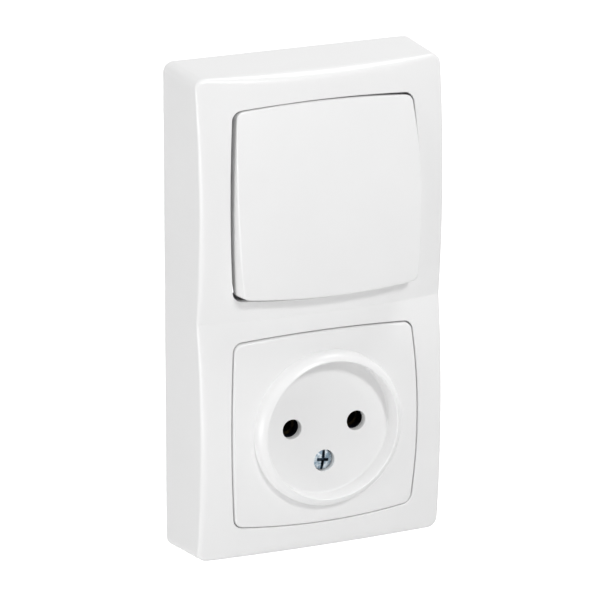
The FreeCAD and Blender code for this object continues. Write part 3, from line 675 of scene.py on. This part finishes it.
def inner_plastic(name, light, dark, roughness, see_in):
    """Moulded plastic that is never seen in use: eroded tool marks and soft clouds of tone."""
    cloud_size = 12 * mm
    grain_size = 0.35 * mm
    material, surface = new_material(name)
    place_on = add_node(material, "TexCoord").outputs["Object"]
    cloud = add_node(material, "TexNoise", {"Scale": 1 / cloud_size, "Detail": 3.0}, {"Vector": place_on})
    tone = add_node(material, "ValToRGB", links={"Fac": cloud.outputs["Fac"]})
    tone.color_ramp.elements[0].position = 0.3
    tone.color_ramp.elements[0].color = srgb(dark)
    tone.color_ramp.elements[1].position = 0.7
    tone.color_ramp.elements[1].color = srgb(light)
    grain = add_node(material, "TexNoise", {"Scale": 1 / grain_size, "Detail": 4.0}, {"Vector": place_on})
    gloss = add_node(
        material, "MapRange", {"To Min": roughness - 0.06, "To Max": roughness + 0.06},
        {"Value": grain.outputs["Fac"]},
    )
    relief = add_node(
        material, "Bump", {"Strength": 0.2, "Distance": 0.03 * mm}, {"Height": grain.outputs["Fac"]}
    )
    surface.inputs["IOR"].default_value = 1.55
    surface.inputs["Subsurface Weight"].default_value = see_in
    surface.inputs["Subsurface Scale"].default_value = 0.5 * mm
    material.node_tree.links.new(tone.outputs["Color"], surface.inputs["Base Color"])
    material.node_tree.links.new(gloss.outputs["Result"], surface.inputs["Roughness"])
    material.node_tree.links.new(relief.outputs["Normal"], surface.inputs["Normal"])
    return material


paint(["base_plate"], inner_plastic("grey_polycarbonate", "#E9E9E8", "#E4E4E2", 0.5, 0.0))
paint(["rocker_carrier", "plunger"], inner_plastic("milky_polyamide", "#E4E3DC", "#DAD9D1", 0.42, 0.25))


# Blocks of the switch and the socket
# Both blocks are pressed from a urea that stands heat and arcs. Their navy-black is painted shade, so that
# the chambers behind the pin holes look black.

# The navy-black tones are painted shade for the dark chambers behind the pin holes and beside the rocker.
paint(["switch_housing", "socket_body"], inner_plastic("urea_with_painted_shade", "#1E2030", "#141624", 0.45, 0.0))


# Strips and sleeves that carry the current
# Contact strips, the blade and the two sleeves are stamped and rolled brass, browned a little by air and
# by the heat of the plug's pins, and darkened much further as painted shade for the sleeves deep in the
# pin holes, with fine marks along the rolling direction.

def brass_with_painted_shade():
    """Brass under a thin brown film, darkened further as painted shade, with rolling marks."""
    film_size = 2.5 * mm
    mark_size = 0.08 * mm
    mark_stretch = 30.0
    material, surface = new_material("brass_with_painted_shade")
    place_on = add_node(material, "TexCoord").outputs["Object"]
    film = add_node(material, "TexNoise", {"Scale": 1 / film_size, "Detail": 4.0}, {"Vector": place_on})
    tone = add_node(material, "ValToRGB", links={"Fac": film.outputs["Fac"]})
    # Both tones are far darker than brass: painted shade for the sleeves seen down the pin holes.
    tone.color_ramp.elements[0].position = 0.38
    tone.color_ramp.elements[0].color = srgb("#33302A")
    tone.color_ramp.elements[1].position = 0.72
    tone.color_ramp.elements[1].color = srgb("#6E5E3A")
    along = add_node(
        material, "Mapping", {"Scale": (1.0, mark_stretch, mark_stretch)}, {"Vector": place_on}
    )
    marks = add_node(
        material, "TexNoise", {"Scale": 1 / (mark_size * mark_stretch), "Detail": 2.0},
        {"Vector": along.outputs["Vector"]},
    )
    gloss = add_node(
        material, "MapRange", {"To Min": 0.32, "To Max": 0.5}, {"Value": marks.outputs["Fac"]}
    )
    relief = add_node(
        material, "Bump", {"Strength": 0.15, "Distance": 0.01 * mm}, {"Height": marks.outputs["Fac"]}
    )
    surface.inputs["Metallic"].default_value = 1.0
    material.node_tree.links.new(tone.outputs["Color"], surface.inputs["Base Color"])
    material.node_tree.links.new(gloss.outputs["Result"], surface.inputs["Roughness"])
    material.node_tree.links.new(relief.outputs["Normal"], surface.inputs["Normal"])
    return material


paint(
    ["contact_blade", "fixed_contact", "common_contact", "socket_contact_left", "socket_contact_right"],
    brass_with_painted_shade(),
)


# Contact rivets
# Silver-alloy rivets, headed cold into the blade and the strip, with soft clouds of tone.

paint(
    ["moving_contact_rivet", "fixed_contact_rivet"],
    zinc_plate("silver_alloy", "#EDEBE6", "#C9C5BC", 0.22),
)


# Springs
# The plunger's coil is drawn spring wire and the clips round the sleeves are rolled strip,
# both left bare and oiled, so they are darker than the plated screws.

paint(["plunger_spring", "contact_spring_clips"], zinc_plate("spring_steel", "#8F9296", "#6C6F74", 0.34))


# Studio
# A white room with three soft lamps: one above the front that casts the rocker's shadow, one
# overhead to the right for the top edge, and one low on the left for the side. The camera
# stands at the photograph's angle and is pitched down, without shift.

room_light = 0.42
room_look = 1.0
object_middle = (0, 0, 0)
floor_size = 6
floor_height = -0.6


def white_room():
    """A world that lights softly and looks pure white."""
    world = bpy.data.worlds.new("white_room")
    bpy.context.scene.world = world
    world.use_nodes = True
    background = world.node_tree.nodes["Background"]
    path = add_node(world, "LightPath")
    seen = add_node(
        world, "Math", links={0: path.outputs["Is Camera Ray"], 1: path.outputs["Is Glossy Ray"]},
        operation="MAXIMUM",
    )
    level = add_node(
        world, "MapRange", {"To Min": room_light, "To Max": room_look}, {"Value": seen.outputs["Value"]}
    )
    background.inputs["Color"].default_value = srgb("#FFFFFF")
    world.node_tree.links.new(level.outputs["Result"], background.inputs["Strength"])


def soft_lamp(name, place_at, target, size, power):
    """A square area lamp that points at a place on the object."""
    light = bpy.data.lights.new(name, "AREA")
    light.size = size
    light.energy = power
    lamp = bpy.data.objects.new(name, light)
    bpy.context.scene.collection.objects.link(lamp)
    lamp.location = place_at
    lamp.rotation_euler = (Vector(target) - Vector(place_at)).to_track_quat("-Z", "Y").to_euler()


white_room()
soft_lamp("front_lamp", (0.15, -2.05, 1.43), object_middle, size=0.35, power=20.0)
soft_lamp("overhead_lamp", (1.00, -0.35, 2.26), object_middle, size=0.9, power=20.5)
soft_lamp("side_lamp", (-2.38, -0.38, -0.62), object_middle, size=1.4, power=42.0)

bpy.ops.object.select_all(action="DESELECT")
bpy.ops.mesh.primitive_plane_add(size=floor_size, location=(0, 0, floor_height))
floor = bpy.context.object
floor.name = "studio_floor"

# The camera sees the floor as pure white, and it still throws a little light back.
pale, pale_surface = new_material("pale_floor")
pale_surface.inputs["Base Color"].default_value = srgb("#F5F5F5")
pale_surface.inputs["Roughness"].default_value = 0.8
path = add_node(pale, "LightPath")
pale.node_tree.links.new(path.outputs["Is Camera Ray"], pale_surface.inputs["Emission Strength"])
pale_surface.inputs["Emission Color"].default_value = srgb("#FFFFFF")
floor.data.materials.append(pale)

# The photograph was taken with a level camera and a raised front. This pitched camera has no
# shift, and was fitted so that the object's corners and seams come nearest to where they were.
image_width = 600
focal_pixels = 5163.7
camera_place = Vector((-569.1, -1212.9, 388.2)) * mm
camera_turn = math.radians(25.263)
camera_pitch = math.radians(16.26)
lens = bpy.data.cameras.new("camera")
lens.sensor_width = 36.0
lens.lens = lens.sensor_width * focal_pixels / image_width
camera = bpy.data.objects.new("camera", lens)
bpy.context.scene.collection.objects.link(camera)
camera.location = camera_place
camera.rotation_euler = (math.pi / 2 - camera_pitch, 0, -camera_turn)
bpy.context.scene.camera = camera
bpy.context.scene.view_settings.view_transform = "Standard"
